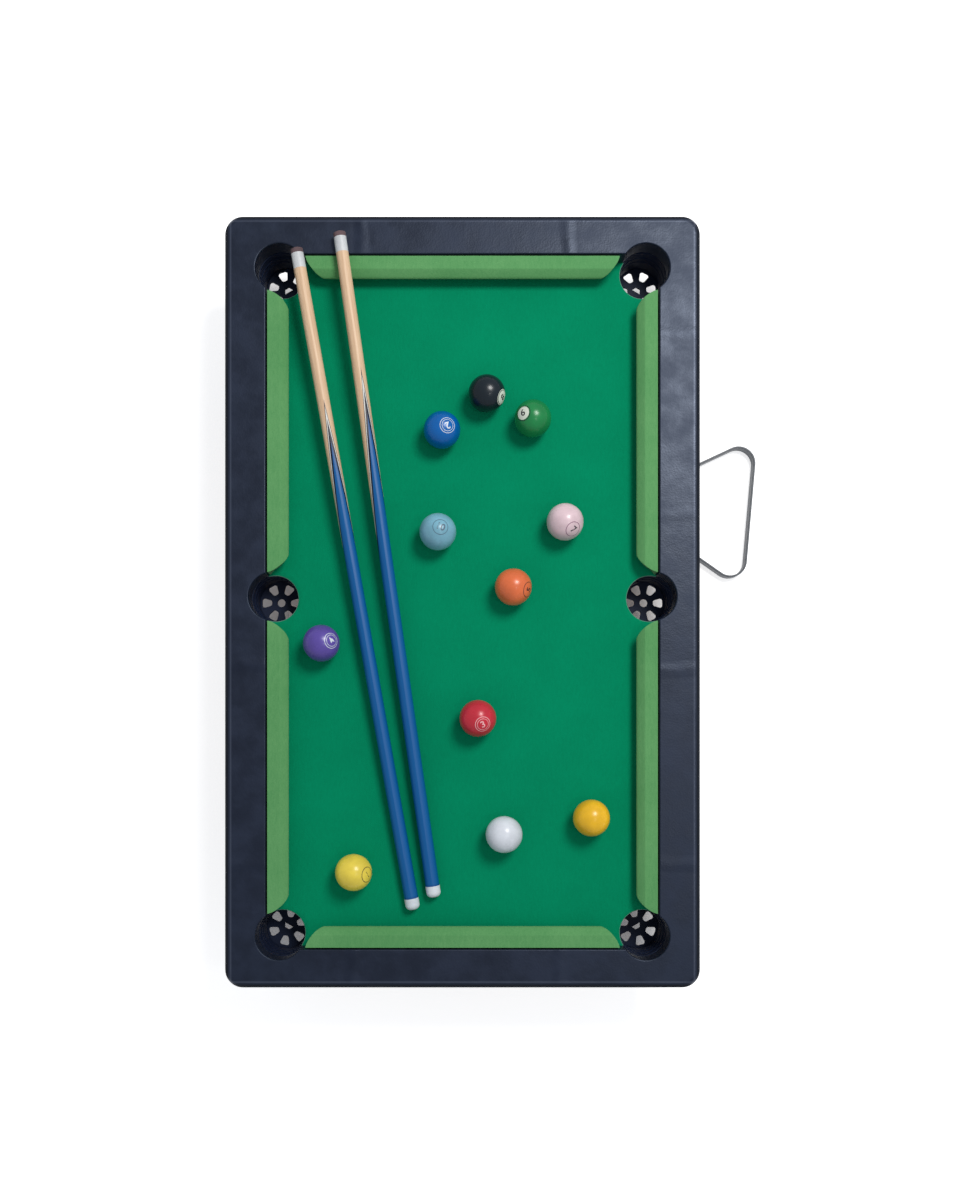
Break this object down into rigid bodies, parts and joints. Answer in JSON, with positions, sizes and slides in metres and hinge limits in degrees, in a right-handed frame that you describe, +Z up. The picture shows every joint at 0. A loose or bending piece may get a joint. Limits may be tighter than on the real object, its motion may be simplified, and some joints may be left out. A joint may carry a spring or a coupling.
{
  "type": "table-top pool table",
  "caption": "Table-top pool table with a moulded rail frame, drop pockets, felt bed and cushions on short legs, set out with balls, cue sticks and a triangle rack.",
  "frame": {"origin": "centre of the table's footprint, on the surface it stands on", "axes": "+X across the table towards the side the rack lies on, +Y along the table towards the end where the cue tips rest, +Z up"},
  "size_m": [0.3714, 0.51, 0.1067],
  "materials": {
    "apron_board": "dark foil-wrapped board",
    "ball_amber": "polished resin with a plain number",
    "ball_black": "polished resin with a plain number",
    "ball_blue": "polished resin with a plain number",
    "ball_green": "polished resin with a plain number",
    "ball_light_blue": "polished resin with a plain number",
    "ball_orange": "polished resin with a plain number",
    "ball_pink": "polished resin with a plain number",
    "ball_purple": "polished resin with a plain number",
    "ball_red": "polished resin with a plain number",
    "ball_white": "polished resin, no number",
    "ball_yellow": "polished resin with a plain number",
    "board_wood": "raw fibreboard",
    "bed_cloth": "green felt",
    "cue_bumper": "off-white rubber",
    "cue_butt": "gloss blue lacquer",
    "cue_ferrule": "off-white",
    "cue_shaft": "clear lacquered maple with blue printed points",
    "cue_tip": "dark leather",
    "screw_steel": "zinc plated",
    "cushion_cloth": "lighter green felt over rubber",
    "foot_rubber": "matt rubber",
    "block_wood": "raw pine",
    "leg_wood": "dark lacquered wood",
    "pocket_plastic": "satin black moulding",
    "frame_plastic": "dark navy grained leatherette over the moulded rails",
    "rack_plastic": "dark slate moulding"
  },
  "bodies": {
    "table": {"apron_far": "apron_board", "apron_left": "apron_board", "apron_near": "apron_board", "apron_right": "apron_board", "bed_board": "board_wood", "bed_cloth": "bed_cloth", "cup_screws": "screw_steel", "cushion_end_far": "cushion_cloth", "cushion_end_near": "cushion_cloth", "cushion_left_far": "cushion_cloth", "cushion_left_near": "cushion_cloth", "cushion_right_far": "cushion_cloth", "cushion_right_near": "cushion_cloth", "foot_pad_far_left": "foot_rubber", "foot_pad_far_right": "foot_rubber", "foot_pad_near_left": "foot_rubber", "foot_pad_near_right": "foot_rubber", "frame_screws": "screw_steel", "leg_block_far_left": "block_wood", "leg_block_far_right": "block_wood", "leg_block_near_left": "block_wood", "leg_block_near_right": "block_wood", "leg_bolts": "screw_steel", "leg_far_left": "leg_wood", "leg_far_right": "leg_wood", "leg_near_left": "leg_wood", "leg_near_right": "leg_wood", "pocket_cup_corner_far_left": "pocket_plastic", "pocket_cup_corner_far_right": "pocket_plastic", "pocket_cup_corner_near_left": "pocket_plastic", "pocket_cup_corner_near_right": "pocket_plastic", "pocket_cup_side_left": "pocket_plastic", "pocket_cup_side_right": "pocket_plastic", "rail_frame": "frame_plastic"},
    "cue_left": {"cue_left_bumper": "cue_bumper", "cue_left_butt": "cue_butt", "cue_left_ferrule": "cue_ferrule", "cue_left_shaft": "cue_shaft", "cue_left_tip": "cue_tip"},
    "cue_right": {"cue_right_bumper": "cue_bumper", "cue_right_butt": "cue_butt", "cue_right_ferrule": "cue_ferrule", "cue_right_shaft": "cue_shaft", "cue_right_tip": "cue_tip"},
    "ball_black": {"ball_black": "ball_black"},
    "ball_blue": {"ball_blue": "ball_blue"},
    "ball_green": {"ball_green": "ball_green"},
    "ball_light_blue": {"ball_light_blue": "ball_light_blue"},
    "ball_pink": {"ball_pink": "ball_pink"},
    "ball_orange": {"ball_orange": "ball_orange"},
    "ball_purple": {"ball_purple": "ball_purple"},
    "ball_red": {"ball_red": "ball_red"},
    "ball_white": {"ball_white": "ball_white"},
    "ball_amber": {"ball_amber": "ball_amber"},
    "ball_yellow": {"ball_yellow": "ball_yellow"},
    "rack": {"triangle_rack": "rack_plastic"}
  },
  "joints": [
    {"name": "ball_black_roll", "type": "slide", "parent": "table", "child": "ball_black", "axis": [0.8192, 0.5736, 0], "range_m": [0, 0.101]},
    {"name": "ball_blue_roll", "type": "slide", "parent": "table", "child": "ball_blue", "axis": [-0.4226, 0.9063, 0], "range_m": [0, 0.094]},
    {"name": "ball_green_roll", "type": "slide", "parent": "table", "child": "ball_green", "axis": [-0.342, -0.9397, 0], "range_m": [0, 0.118]},
    {"name": "ball_light_blue_roll", "type": "slide", "parent": "table", "child": "ball_light_blue", "axis": [0.4226, -0.9063, 0], "range_m": [0, 0.118]},
    {"name": "ball_pink_roll", "type": "slide", "parent": "table", "child": "ball_pink", "axis": [0.1736, 0.9848, 0], "range_m": [0, 0.118]},
    {"name": "ball_orange_roll", "type": "slide", "parent": "table", "child": "ball_orange", "axis": [0.0872, -0.9962, 0], "range_m": [0, 0.118]},
    {"name": "ball_purple_roll", "type": "slide", "parent": "table", "child": "ball_purple", "axis": [0.1736, -0.9848, 0], "range_m": [0, 0.118]},
    {"name": "ball_red_roll", "type": "slide", "parent": "table", "child": "ball_red", "axis": [-0.342, 0.9397, 0], "range_m": [0, 0.102]},
    {"name": "ball_white_roll", "type": "slide", "parent": "table", "child": "ball_white", "axis": [0.5736, 0.8192, 0], "range_m": [0, 0.118]},
    {"name": "ball_amber_roll", "type": "slide", "parent": "table", "child": "ball_amber", "axis": [0.0872, 0.9962, 0], "range_m": [0, 0.118]},
    {"name": "ball_yellow_roll", "type": "slide", "parent": "table", "child": "ball_yellow", "axis": [-0.1736, 0.9848, 0], "range_m": [0, 0.118]},
    {"name": "cue_left_lift", "type": "slide", "parent": "table", "child": "cue_left", "axis": [0, 0, 1], "range_m": [0, 0.08]},
    {"name": "cue_right_lift", "type": "slide", "parent": "table", "child": "cue_right", "axis": [0, 0, 1], "range_m": [0, 0.08]},
    {"name": "rack_pull", "type": "slide", "parent": "table", "child": "rack", "axis": [1, 0, 0], "range_m": [0, 0.12]}
  ]
}
